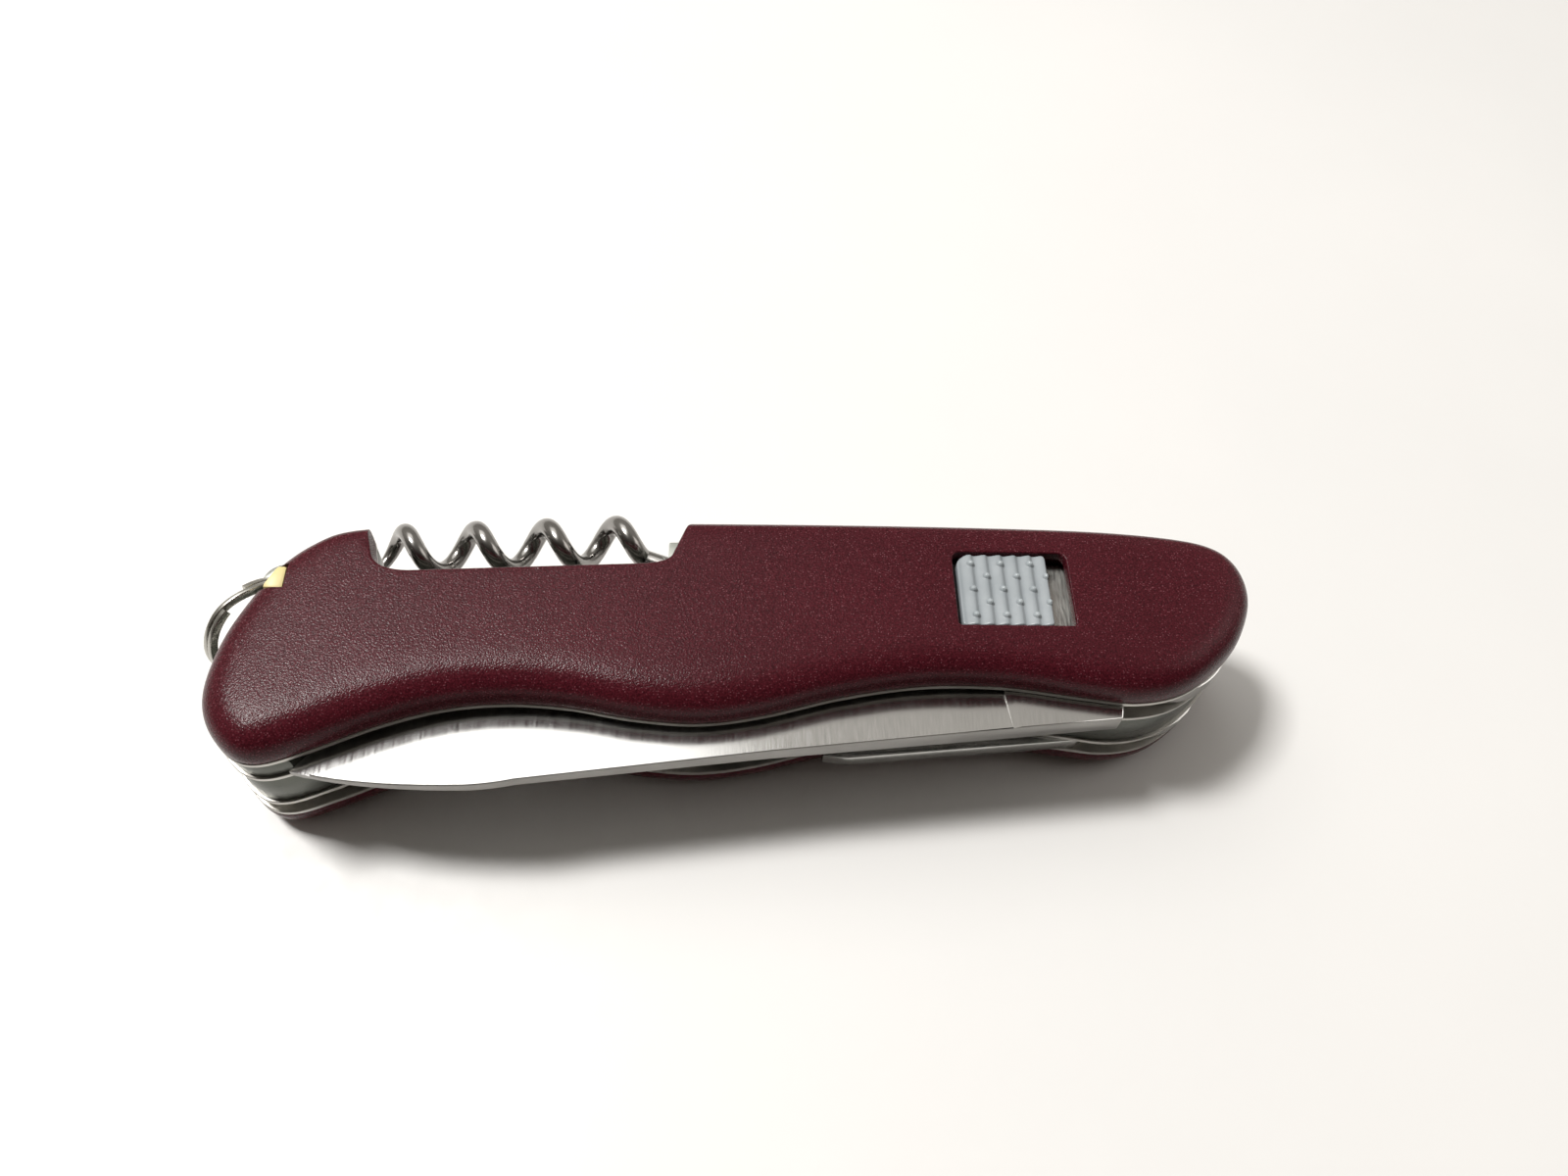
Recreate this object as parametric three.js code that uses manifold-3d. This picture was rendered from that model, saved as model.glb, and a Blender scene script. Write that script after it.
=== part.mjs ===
// Multi-tool pocket knife with a locking blade, two openers, a corkscrew and a reamer.
// Millimetres. +X runs from the key ring end (butt) to the blade pivot end (head), +Y points to the
// back of the handle, +Z is up. The knife lies on its rear scale.

import * as THREE from 'three';
import { mergeVertices } from 'three/addons/utils/BufferGeometryUtils.js';
import Module from 'manifold-3d';

const wasm = await Module();
wasm.setup();

// ---------------------------------------------------------------- driving dimensions

const SCALE_T = 4.2; // thickness of each plastic scale
const LINER_T = 0.6; // thickness of each steel liner
const OPENER_GAP = 2.2; // width of the layer with the openers
const SCREW_GAP = 5.6; // width of the layer with the corkscrew
const BLADE_GAP = 2.8; // width of the layer with the large blade
const SIDE_PLAY = 0.12; // play on each side of a tool in its layer

const Z = { rearLiner: SCALE_T };
Z.opener = Z.rearLiner + LINER_T;
Z.openerLiner = Z.opener + OPENER_GAP;
Z.screw = Z.openerLiner + LINER_T;
Z.bladeLiner = Z.screw + SCREW_GAP;
Z.blade = Z.bladeLiner + LINER_T;
Z.frontLiner = Z.blade + BLADE_GAP;
Z.frontScale = Z.frontLiner + LINER_T;
Z.top = Z.frontScale + SCALE_T;

const SCALE_ROUND = 2.9; // how far the rounding of a scale's outer edge reaches inwards
const SCALE_RISE = 4; // how far it reaches down
const PIN_R = 1.5; // rivets
const SMALL_PIN_R = 1.1; // pins of the corkscrew and the reamer
const PIN_PLAY = 0.08; // radial play of a tool on its pin
const FIXED_PLAY = 0.05; // radial gap between a pin and a piece that doesn't turn
const ROUND_STEPS = 32; // sides of a pin or a hole
const SPRING_INSET = 0.25; // how far springs and spacers lie inside the outline

const HEAD = [45, 3]; // pivot of the blade and the can opener
const BUTT = [-46.5, -3]; // pivot of the bottle opener
const CENTRE = [3.5, 5]; // rivet through the three springs
const SCREW_PIVOT = [-3, 10];
const REAMER_PIVOT = [13.5, 10.2];

const HEAD_TANG_R = 8.3; // round tangs of the blade and the can opener
const BUTT_TANG_R = 6.4; // round tang of the bottle opener
const BLADE_T = BLADE_GAP - 2 * SIDE_PLAY;
const OPENER_T = OPENER_GAP - 2 * SIDE_PLAY;

const SCREW = { coil: 2.35, wire: 1.05, pitch: 8.15, turns: 3.95, axisX: -16.45, axisY: 17.2, tilt: 0.066 };
const HUB_T = 4.4;
const REAMER_T = 2.6;

const WINDOW = { x0: 21.95, x1: 34.6, y0: 0.3, y1: 9.5, corner: 1, wall: 1.2 };
const BUTTON = {
  x0: 22.45, x1: 32.35, y0: 0.45, y1: 9.3, travel: 2.1, ribs: 6, pitch: 1.64, base: 21.0, rib: 0.65,
};
const SLIDE = { x0: 21.2, x1: 35.4, y0: -0.35, y1: 9.7, corner: 1, z0: Z.frontScale + 0.75, t: 0.6 };
const LEAF = { x0: 8, x1: 34.2, y0: 1.4, y1: 8.0, gap: 0.35 };

const LUG = { x: -51.4, y: 8.55, t: 1, r: 2.4, hole: 1.7 };
const RING = { outer: 5.9, wire: 1, axial: 1.3, x: -54.39, y: 4.44, z: 12.13, turn: -39, lift: 6.4 };

const PICK = { y: 4.75, width: 2.3, z0: 18.4, t: 1.2, x0: -49.8, length: 56 };
const PICK_HEAD = { y0: 4.1, y1: 6.9, x1: -49 };
const PICK_PLAY = 0.2;

// ---------------------------------------------------------------- solids

function solid(geometry) {
  const bare = geometry.clone();
  bare.deleteAttribute('normal');
  bare.deleteAttribute('uv');
  const merged = mergeVertices(bare, 1e-5);
  return new wasm.Manifold(new wasm.Mesh({
    numProp: 3,
    vertProperties: merged.attributes.position.array,
    triVerts: new Uint32Array(merged.index.array),
  }));
}

function geometryOf(body) {
  const mesh = body.getMesh();
  const geometry = new THREE.BufferGeometry();
  geometry.setAttribute('position', new THREE.BufferAttribute(mesh.vertProperties, 3));
  geometry.setIndex(new THREE.BufferAttribute(mesh.triVerts, 1));
  geometry.computeVertexNormals();
  return geometry;
}

function plate(shape, z0, z1, curveSegments = 5) {
  const geometry = new THREE.ExtrudeGeometry(shape, { depth: z1 - z0, bevelEnabled: false, curveSegments });
  return geometry.translate(0, 0, z0);
}

function block(x0, x1, y0, y1, z0, z1) {
  const geometry = new THREE.BoxGeometry(x1 - x0, y1 - y0, z1 - z0);
  return geometry.translate((x0 + x1) / 2, (y0 + y1) / 2, (z0 + z1) / 2);
}

function rod([x, y], radius, z0, z1) {
  const geometry = new THREE.CylinderGeometry(radius, radius, z1 - z0, ROUND_STEPS);
  return geometry.rotateX(Math.PI / 2).translate(x, y, (z0 + z1) / 2);
}

// A prism along X from an outline whose points are (y, z).
function prismAlongX(points, x0, x1) {
  const shape = new THREE.Shape(points.map(([y, z]) => new THREE.Vector2(y, z)));
  const toRow = new THREE.Matrix4().makeBasis(
    new THREE.Vector3(0, 1, 0), new THREE.Vector3(0, 0, 1), new THREE.Vector3(1, 0, 0));
  return plate(shape, x0, x1).applyMatrix4(toRow);
}

function cut(geometry, ...tools) {
  let body = solid(geometry);
  for (const tool of tools) body = body.subtract(solid(tool));
  return geometryOf(body);
}

function common(geometry, ...others) {
  let body = solid(geometry);
  for (const other of others) body = body.intersect(solid(other));
  return geometryOf(body);
}

function join(geometry, ...others) {
  let body = solid(geometry);
  for (const other of others) body = body.add(solid(other));
  return geometryOf(body);
}

function pinHoles(centres, z0, z1, radius = PIN_R + FIXED_PLAY) {
  return centres.map((centre) => rod(centre, radius, z0 - 1, z1 + 1));
}

// ---------------------------------------------------------------- outlines

function vectors(points) {
  return points.map(([x, y]) => new THREE.Vector2(x, y));
}

// The handle seen from the front: a straight back, a belly with two swells, a round head and a
// butt with a slanted corner for the key ring.
function handlePoints() {
  const curve = new THREE.SplineCurve(vectors([
    [-55.3, -7.3], [-54.2, -10.9], [-51.6, -13.7], [-48.6, -14.3], [-43.8, -12.6], [-38, -10.1],
    [-31.8, -8.2], [-25.4, -7.5], [-18.9, -7.9], [-12.3, -9.1], [-5.6, -9.6], [1, -8.7],
    [9.4, -6.5], [18.1, -5.1], [26.9, -5.1], [35.5, -6.3], [41.3, -6.9], [46.7, -5.6],
    [51.9, -1.6], [54.6, 2.6], [55.5, 6.2], [54.6, 9.4], [52, 11.6], [47.2, 12.8], [38, 13.6],
    [24, 13.9], [8, 13.95], [-8, 13.8], [-24, 13.5], [-36, 12.9], [-43.6, 12.1], [-47.5, 10.2],
    [-50.75, 6.9], [-53.3, 2], [-54.8, -2.5], [-55.3, -7.3],
  ]));
  return curve.getPoints(105).slice(0, -1);
}

// Moves each point of a closed counter-clockwise outline inwards.
function inset(points, distance) {
  return points.map((point, i) => {
    const before = points.at(i - 1);
    const after = points[(i + 1) % points.length];
    const along = after.clone().sub(before).normalize();
    return new THREE.Vector2(point.x - along.y * distance, point.y + along.x * distance);
  });
}

function handleShape(distance = 0) {
  return new THREE.Shape(distance ? inset(handlePoints(), distance) : handlePoints());
}

// The recess in the back for the corkscrew, deepened by a distance.
function recess(z0, z1, deeper = 0) {
  const round = 1.8;
  const shape = new THREE.Shape();
  shape.moveTo(-42.4, 16);
  shape.quadraticCurveTo(-41.5, 12.4, -41.2, 11);
  shape.lineTo(-40.5 - deeper / 2, 8.4);
  shape.quadraticCurveTo(-39.9, 6.35 - deeper, -40 + 2 * round, 6.3 - deeper);
  shape.lineTo(-10.4 - round, 7.55 - deeper);
  shape.quadraticCurveTo(-9.2, 7.7 - deeper, -8.6, 8.7 - deeper);
  shape.lineTo(-7.2, 12.2);
  shape.quadraticCurveTo(-6.4, 13.8, -4.9, 13.95);
  shape.lineTo(-4.9, 16);
  return plate(shape, z0, z1, 4);
}

// ---------------------------------------------------------------- handle

const RIVETS = [HEAD, BUTT, CENTRE];

function scaleBlank() {
  const geometry = new THREE.ExtrudeGeometry(handleShape(), {
    depth: SCALE_T,
    bevelSize: SCALE_ROUND,
    bevelThickness: SCALE_RISE,
    bevelOffset: -SCALE_ROUND,
    bevelSegments: 4,
    curveSegments: 1,
  });
  const lowered = geometry.translate(0, 0, Z.frontScale - SCALE_RISE);
  const slab = block(-70, 70, -30, 30, Z.frontScale, Z.top);
  return cut(common(lowered, slab), recess(Z.frontScale - 1, Z.top + 1));
}

// The slot that opens at the butt and holds the toothpick or the tweezers.
function storageSlot() {
  const half = PICK.width / 2 + PICK_PLAY;
  const end = PICK.x0 + PICK.length + PICK_PLAY;
  const groove = block(-60, end, PICK.y - half, PICK.y + half, Z.frontScale - 1,
    PICK.z0 + PICK.t + PICK_PLAY);
  const notch = block(-60, PICK_HEAD.x1 + PICK_PLAY, PICK_HEAD.y0 - PICK_PLAY, PICK_HEAD.y1 + PICK_PLAY,
    Z.frontScale - 1, Z.top + 1);
  return [groove, notch];
}

function roundedRectangle(x0, x1, y0, y1, corner) {
  const shape = new THREE.Shape();
  shape.absarc(x1 - corner, y0 + corner, corner, -Math.PI / 2, 0);
  shape.absarc(x1 - corner, y1 - corner, corner, 0, Math.PI / 2);
  shape.absarc(x0 + corner, y1 - corner, corner, Math.PI / 2, Math.PI);
  shape.absarc(x0 + corner, y0 + corner, corner, Math.PI, 1.5 * Math.PI);
  return shape;
}

function frontScale() {
  const { x0, x1, y0, y1, corner } = WINDOW;
  const slot = plate(roundedRectangle(x0, x1, y0, y1, corner), Z.frontScale - 1, Z.top + 1, 4);
  const slideRoom = block(SLIDE.x0 - 0.3, SLIDE.x1 + BUTTON.travel + 0.3, SLIDE.y0 - 0.3, SLIDE.y1 + 0.5,
    Z.frontScale - 1, Z.top - WINDOW.wall);
  const leafRoom = block(LEAF.x0 - 1, LEAF.x1 + 5, LEAF.y0 - 0.4, LEAF.y1 + 0.4, Z.frontScale - 1,
    Z.frontScale + 0.7);
  return cut(scaleBlank(), slot, slideRoom, leafRoom, ...storageSlot());
}

function rearScale() {
  const front = cut(scaleBlank(), ...storageSlot());
  const flipped = front.scale(1, 1, -1).translate(0, 0, Z.top);
  const index = flipped.index.array;
  for (let i = 0; i < index.length; i += 3) [index[i], index[i + 1]] = [index[i + 1], index[i]];
  return flipped;
}

function liner(z, holes = RIVETS, extra = []) {
  const sheet = plate(handleShape(), z, z + LINER_T);
  return cut(sheet, recess(z - 1, z + LINER_T + 1, 0.3), ...pinHoles(holes, z, z + LINER_T), ...extra);
}

function pivotHoles(z) {
  return pinHoles([SCREW_PIVOT, REAMER_PIVOT], z, z + LINER_T, SMALL_PIN_R + FIXED_PLAY);
}

function frontLiner() {
  const { x0, x1, y0, y1, gap } = LEAF;
  const slot = block(x0 - gap, x1 + 2.6, y0 - gap, y1 + gap, Z.frontLiner - 1, Z.frontLiner + 2);
  return liner(Z.frontLiner, RIVETS, [slot]);
}

// A spring is the part of the inset handle outline that lies inside its own region.
function spring(regionPoints, z0, z1, deeper = 0.5) {
  const region = plate(new THREE.Shape(vectors(regionPoints)), z0 - 1, z1 + 1);
  const body = common(plate(handleShape(SPRING_INSET), z0, z1), region);
  return cut(body, recess(z0 - 1, z1 + 1, deeper), ...pinHoles(RIVETS, z0, z1));
}

function bladeBackspring() {
  const region = [[-60, 20], [-60, -20], [-46.9, -20], [-46.3, -13], [-42, -7.4], [-37, -1.6], [-31, 2.2],
    [-24, 3.1], [-8, 3.3], [0, 4], [7, 7], [14, 8.6], [35.6, 9.2], [35.6, 20]];
  const body = spring(region, Z.blade, Z.frontLiner);
  const lugRoom = plate(lugShape(0.3, true), Z.blade - 1, Z.blade + LUG.t + 0.3, 12);
  return cut(body, lugRoom);
}

function corkscrewBackspring() {
  const region = [[-60, 20], [-60, -20], [-41, -20], [-40.2, -10], [-37, -1.6],
    [-31, 2.2], [-24, 2.9], [0, 2.6], [30, 2.6], [35.7, 2.6], [35.7, 6.9], [-41, 6.9],
    [-43, 9], [-43, 20]];
  return spring(region, Z.screw, Z.bladeLiner, 0);
}

function openerBackspring() {
  const region = [[-41.6, 20], [-40.6, 5.4], [-30, 3.6], [-8, 3.3], [0, 4], [7, 7], [14, 8.6],
    [35.6, 9.2], [35.6, 20]];
  return spring(region, Z.opener, Z.openerLiner);
}

function headSpacer() {
  const region = [[33, -20], [60, -20], [60, 20], [36, 20], [36, 1.6], [34.6, -1]];
  return spring(region, Z.screw, Z.bladeLiner);
}

// The lug is a strip from the butt rivet to a round eye outside the slanted corner.
function lugShape(grow = 0, closed = false) {
  const eye = [LUG.x, LUG.y];
  const root = [BUTT[0], BUTT[1] + 1];
  const direction = Math.atan2(eye[1] - root[1], eye[0] - root[0]);
  const side = Math.PI / 2;
  const shape = new THREE.Shape();
  shape.absarc(eye[0], eye[1], LUG.r + grow, direction - side, direction + side);
  shape.absarc(root[0], root[1], 3.4 + grow, direction + side, direction + 3 * side);
  if (!closed) {
    const hole = new THREE.Path();
    hole.absarc(eye[0], eye[1], LUG.hole, 0, 2 * Math.PI, true);
    shape.holes.push(hole);
  }
  return shape;
}

function keyRingLug() {
  return cut(plate(lugShape(), Z.blade, Z.blade + LUG.t, 14), ...pinHoles([BUTT], Z.blade, Z.frontLiner));
}

// ---------------------------------------------------------------- lock

function lockLeaf() {
  return block(LEAF.x0, LEAF.x1, LEAF.y0, LEAF.y1, Z.frontLiner, Z.frontScale);
}

// The button's profile along X has one saw tooth for each rib, steep on the side of the head.
function slideButton() {
  const { x0, x1, y0, y1, ribs, pitch, base, rib } = BUTTON;
  const bottom = SLIDE.z0 + SLIDE.t;
  const points = [[x0, bottom], [x1, bottom], [x1, base]];
  for (let i = 0; i < ribs; i += 1) {
    const crest = x1 - 0.2 - i * pitch;
    points.push([crest, base + rib], [crest - 0.72 * pitch, base]);
  }
  points.push([x0, base - 0.1]);
  const profile = new THREE.Shape(vectors(points));
  const ribbed = plate(profile, -y1, -y0).rotateX(Math.PI / 2);
  const sides = plate(roundedRectangle(x0, x1, y0, y1, WINDOW.corner), bottom, Z.top + 1, 4);
  return common(ribbed, sides);
}

// The plate under the button keeps it in the scale and closes the rest of the window.
function slidePlate() {
  const { x0, x1, y0, y1, corner, z0, t } = SLIDE;
  return plate(roundedRectangle(x0, x1, y0, y1, corner), z0, z0 + t, 4);
}

// ---------------------------------------------------------------- tools

function toolHole(centre, z0, z1, radius = PIN_R) {
  return rod(centre, radius + PIN_PLAY, z0 - 1, z1 + 1);
}

// Closed, the blade's spine stands out of the belly and its edge lies inside the handle.
function largeBlade() {
  const z0 = Z.blade + SIDE_PLAY;
  const z1 = z0 + BLADE_T;
  const shape = new THREE.Shape();
  shape.moveTo(39.6, -8.3);
  shape.lineTo(40.6, -4.05);
  shape.absarc(...HEAD, HEAD_TANG_R, -2.13, 2.75);
  shape.lineTo(30, 5.2);
  shape.lineTo(27, 4.4);
  shape.lineTo(-16, 1);
  shape.bezierCurveTo(-32, -0.4, -40.5, -6.6, -46.3, -14.3);
  shape.quadraticCurveTo(-39.5, -16.1, -29, -15.9);
  shape.quadraticCurveTo(-26.5, -15.8, -24, -15.25);
  shape.lineTo(2, -12.12);
  return cut(plate(shape, z0, z1, 12), ...bladeGrinds(z0), toolHole(HEAD, z0, z1));
}

// Two grinds on each face of the blade: a wide one that also thins it towards the tip, and a steeper
// one along the edge. Their sections are (distance from the spine, depth).
function bladeGrinds(z0) {
  const spineSlope = Math.atan2(5.74, 51.65);
  const wide = { section: [[18, -3], [18, 0.6], [-2, -0.07], [-2, -3]], taper: 0.0105 };
  const edge = { section: [[18, -3], [18, 1.47], [9, 0.45], [5, -3]], taper: 0 };
  const tools = [];
  for (const { section, taper } of [wide, edge]) {
    const lower = prismAlongX(section, -90, 0).rotateY(taper);
    const upper = prismAlongX(section.map(([y, z]) => [y, BLADE_T - z]).reverse(), -90, 0).rotateY(-taper);
    for (const tool of [lower, upper]) tools.push(tool.rotateZ(spineSlope).translate(27.65, -9.51, z0));
  }
  return tools;
}

function canOpener() {
  const z0 = Z.opener + SIDE_PLAY;
  const z1 = z0 + OPENER_T;
  const shape = new THREE.Shape();
  shape.moveTo(37.4, -6.35);
  shape.lineTo(39.4, -5);
  shape.absarc(...HEAD, HEAD_TANG_R, -2.2, 2.75);
  shape.quadraticCurveTo(34, 4.6, 28, 3.4);
  shape.lineTo(22.5, 2.6);
  shape.quadraticCurveTo(18.4, 2, 16.4, -0.6);
  shape.quadraticCurveTo(20.6, -1.6, 20, -4.4);
  shape.quadraticCurveTo(17.6, -5.8, 14.2, -4.6);
  shape.lineTo(8.2, -5);
  shape.lineTo(8.4, -8.3);
  shape.lineTo(11.25, -8.65);
  return cut(plate(shape, z0, z1, 12), toolHole(HEAD, z0, z1));
}

function bottleOpener() {
  const z0 = Z.opener + SIDE_PLAY;
  const z1 = z0 + OPENER_T;
  const shape = new THREE.Shape();
  shape.moveTo(-41.6, -8.3);
  shape.lineTo(-9, -8.9);
  shape.lineTo(-5.4, -8.7);
  shape.lineTo(-5.2, -3);
  shape.lineTo(-9.6, -2.6);
  shape.quadraticCurveTo(-11.6, -6.2, -15.6, -5.2);
  shape.quadraticCurveTo(-18.8, -4, -17.4, -0.2);
  shape.quadraticCurveTo(-19, 1.6, -23, 1.4);
  shape.lineTo(-36, 0.6);
  shape.absarc(...BUTT, BUTT_TANG_R, 0.75, -0.95 + 2 * Math.PI);
  return cut(plate(shape, z0, z1, 12), toolHole(BUTT, z0, z1));
}

// The coil is right-handed and leans slightly towards the handle at its tip.
class CoilCurve extends THREE.Curve {
  getPoint(t, target = new THREE.Vector3()) {
    const lead = 3.4;
    const angle = -Math.PI + (SCREW.turns * 2 * Math.PI) * Math.max(0, (t - 0.06) / 0.94);
    const start = Math.max(0, 1 - t / 0.06);
    const x = SCREW.axisX - (SCREW.pitch * angle) / (2 * Math.PI) + lead * start;
    const axisY = SCREW.axisY + SCREW.tilt * (x - SCREW.axisX);
    const y = axisY + SCREW.coil * Math.cos(angle);
    return target.set(x, y, SCREW_Z - SCREW.coil * Math.sin(angle));
  }
}

const SCREW_Z = Z.screw + SCREW_GAP / 2;
const SCREW_ROOT = new CoilCurve().getPoint(0);

function corkscrew() {
  const section = new THREE.Shape();
  section.absarc(0, 0, SCREW.wire, 0, 2 * Math.PI);
  return new THREE.ExtrudeGeometry(section, {
    extrudePath: new CoilCurve(), steps: 96, curveSegments: 5, bevelEnabled: false,
  });
}

function corkscrewHub() {
  const z0 = SCREW_Z - HUB_T / 2;
  const z1 = SCREW_Z + HUB_T / 2;
  const shape = new THREE.Shape();
  shape.moveTo(-9.3, 16.2);
  shape.lineTo(-9.3, 12.9);
  shape.lineTo(-5.4, 8.2);
  shape.absarc(...SCREW_PIVOT, 3, Math.PI * 1.2, Math.PI * 2.1);
  shape.lineTo(-1.8, 14.4);
  shape.quadraticCurveTo(-3.2, 16.4, -5.2, 16.3);
  const socket = new THREE.CylinderGeometry(SCREW.wire + 0.2, SCREW.wire + 0.2, 8, ROUND_STEPS);
  socket.rotateZ(Math.PI / 2).translate(SCREW_ROOT.x + 0.1 - 4, SCREW_ROOT.y, SCREW_ROOT.z);
  return cut(plate(shape, z0, z1, 8), toolHole(SCREW_PIVOT, z0, z1, SMALL_PIN_R), socket);
}

function reamer() {
  const z0 = SCREW_Z - REAMER_T / 2;
  const z1 = SCREW_Z + REAMER_T / 2;
  const [x, y] = REAMER_PIVOT;
  const shape = new THREE.Shape();
  shape.absarc(x, y, 3, 0.45 * Math.PI, 1.55 * Math.PI);
  shape.lineTo(x + 7, y - 2.4);
  shape.quadraticCurveTo(x + 14.5, y - 2.2, x + 22, y + 0.9);
  shape.quadraticCurveTo(x + 17, y + 3.9, x + 9, y + 4.2);
  shape.lineTo(x + 4, y + 4);
  const grind = [[y - 3, z1 + 1], [y - 3, z0 + 0.9], [y + 2.4, z1], [y + 2.4, z1 + 1]];
  const bevel = prismAlongX(grind.reverse(), x + 5, x + 30);
  return cut(plate(shape, z0, z1, 8), bevel, toolHole(REAMER_PIVOT, z0, z1, SMALL_PIN_R));
}

// ---------------------------------------------------------------- carried pieces

function keyRing() {
  const { outer, wire, axial } = RING;
  const half = axial / 2;
  const profile = vectors([[outer - wire, -half], [outer, -half], [outer, half], [outer - wire, half],
    [outer - wire, -half]]);
  const geometry = new THREE.LatheGeometry(profile, 40);
  return geometry.rotateX(Math.PI / 2);
}

function toothpick() {
  const { x0, length, y, width, z0, t } = PICK;
  const half = width / 2;
  const shape = new THREE.Shape();
  shape.moveTo(x0, y - half);
  shape.lineTo(x0 + length - 6, y - half);
  shape.quadraticCurveTo(x0 + length - 1, y - 0.5, x0 + length, y);
  shape.quadraticCurveTo(x0 + length - 1, y + 0.5, x0 + length - 6, y + half);
  shape.lineTo(x0, y + half);
  const head = plate(headShape(), z0, Z.top - 0.5);
  return join(plate(shape, z0, z0 + t), head);
}

// The head's outer side follows the slanted corner of the scale.
function headShape() {
  const { y0, y1, x1 } = PICK_HEAD;
  return new THREE.Shape(vectors([[-51.3, y0], [x1, y0], [x1, y1], [-50, y1]]));
}

function tweezers() {
  const half = PICK.width / 2 - 0.1;
  const x0 = -48.4;
  const z1 = Z.top - PICK.z0;
  const shape = new THREE.Shape();
  shape.moveTo(x0, PICK.y - half);
  shape.lineTo(x0 + 36, PICK.y - half);
  shape.lineTo(x0 + 43, PICK.y - 0.7);
  shape.lineTo(x0 + 43, PICK.y + 0.7);
  shape.lineTo(x0 + 36, PICK.y + half);
  shape.lineTo(x0, PICK.y + half);
  const gap = block(x0 + 6, x0 + 50, PICK.y - 3, PICK.y + 3, z1 - 0.85, z1 - 0.45);
  return cut(plate(shape, z1 - PICK.t, z1), gap);
}

function tweezersGrip() {
  return plate(headShape(), 0.5, Z.top - PICK.z0);
}

// ---------------------------------------------------------------- assembly

const knife = new THREE.Group();

const FINISH = {
  scale: { color: 0x6e2a33, roughness: 0.6, metalness: 0 },
  steel: { color: 0xb9bcbd, roughness: 0.28, metalness: 1 },
  blade: { color: 0xd4d6d8, roughness: 0.12, metalness: 1 },
  dark: { color: 0x77797a, roughness: 0.22, metalness: 1 },
  button: { color: 0xb4bfc4, roughness: 0.5, metalness: 0 },
  cream: { color: 0xf3e0a4, roughness: 0.5, metalness: 0 },
  grip: { color: 0x9a9c9e, roughness: 0.5, metalness: 0 },
};

function place(name, geometry, finish, group = knife) {
  const mesh = new THREE.Mesh(geometry, new THREE.MeshStandardMaterial(FINISH[finish]));
  mesh.name = name;
  group.add(mesh);
  return mesh;
}

place('front_scale', frontScale(), 'scale');
place('rear_scale', rearScale(), 'scale');
place('front_liner', frontLiner(), 'steel');
place('blade_liner', liner(Z.bladeLiner, RIVETS, pivotHoles(Z.bladeLiner)), 'steel');
place('opener_liner', liner(Z.openerLiner, RIVETS, pivotHoles(Z.openerLiner)), 'steel');
place('rear_liner', liner(Z.rearLiner), 'steel');
place('blade_backspring', bladeBackspring(), 'steel');
place('corkscrew_backspring', corkscrewBackspring(), 'steel');
place('opener_backspring', openerBackspring(), 'steel');
place('head_spacer', headSpacer(), 'steel');
place('head_rivet', rod(HEAD, PIN_R, Z.rearLiner, Z.frontScale), 'steel');
place('butt_rivet', rod(BUTT, PIN_R, Z.rearLiner, Z.frontScale), 'steel');
place('centre_rivet', rod(CENTRE, PIN_R, Z.rearLiner, Z.frontScale), 'steel');
place('corkscrew_pin', rod(SCREW_PIVOT, SMALL_PIN_R, Z.openerLiner, Z.blade), 'steel');
place('reamer_pin', rod(REAMER_PIVOT, SMALL_PIN_R, Z.openerLiner, Z.blade), 'steel');
place('key_ring_lug', keyRingLug(), 'steel');
place('lock_leaf', lockLeaf(), 'steel');
place('slide_button', slideButton(), 'button');
place('slide_plate', slidePlate(), 'steel');
place('large_blade', largeBlade(), 'blade');
place('can_opener', canOpener(), 'steel');
place('bottle_opener', bottleOpener(), 'steel');
place('corkscrew', corkscrew(), 'dark');
place('corkscrew_hub', corkscrewHub(), 'steel');
place('reamer', reamer(), 'steel');
place('toothpick', toothpick(), 'cream');
place('tweezers', tweezers(), 'steel');
place('tweezers_grip', tweezersGrip(), 'grip');

// The ring's own axis starts along +Z, tips over to nearly level and then turns about +Z.
const ringFrame = new THREE.Group();
ringFrame.position.set(RING.x, RING.y, RING.z);
ringFrame.rotation.order = 'ZYX';
ringFrame.rotation.set(0, THREE.MathUtils.degToRad(90 - RING.lift), THREE.MathUtils.degToRad(RING.turn));
knife.add(ringFrame);
place('key_ring', keyRing(), 'steel', ringFrame);

// The origin is at the bottom centre of the whole knife's box.
knife.updateMatrixWorld(true);
const box = new THREE.Box3().setFromObject(knife, true);
const centre = box.getCenter(new THREE.Vector3());
knife.position.set(-centre.x, -centre.y, -box.min.z);

export default knife;
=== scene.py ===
import math

import bpy
from mathutils import Matrix, Vector
from mathutils.geometry import delaunay_2d_cdt
from mathutils.kdtree import KDTree


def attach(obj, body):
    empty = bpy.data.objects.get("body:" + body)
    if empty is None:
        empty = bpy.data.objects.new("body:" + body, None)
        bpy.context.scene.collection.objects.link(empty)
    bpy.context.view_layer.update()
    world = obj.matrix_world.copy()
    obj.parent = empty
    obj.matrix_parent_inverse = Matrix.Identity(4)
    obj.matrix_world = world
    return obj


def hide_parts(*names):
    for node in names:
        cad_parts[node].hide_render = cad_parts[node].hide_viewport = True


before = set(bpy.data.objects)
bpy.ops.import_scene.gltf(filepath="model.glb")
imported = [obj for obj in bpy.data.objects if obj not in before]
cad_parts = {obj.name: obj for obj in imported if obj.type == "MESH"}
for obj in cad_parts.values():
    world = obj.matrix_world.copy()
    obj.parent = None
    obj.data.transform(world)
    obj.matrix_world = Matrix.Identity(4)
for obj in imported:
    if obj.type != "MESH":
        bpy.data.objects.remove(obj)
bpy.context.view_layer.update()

# Lengths below are millimetres in the frame the handle was drawn in. SETTLE moves them to the row frame.
MM = 0.001
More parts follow.
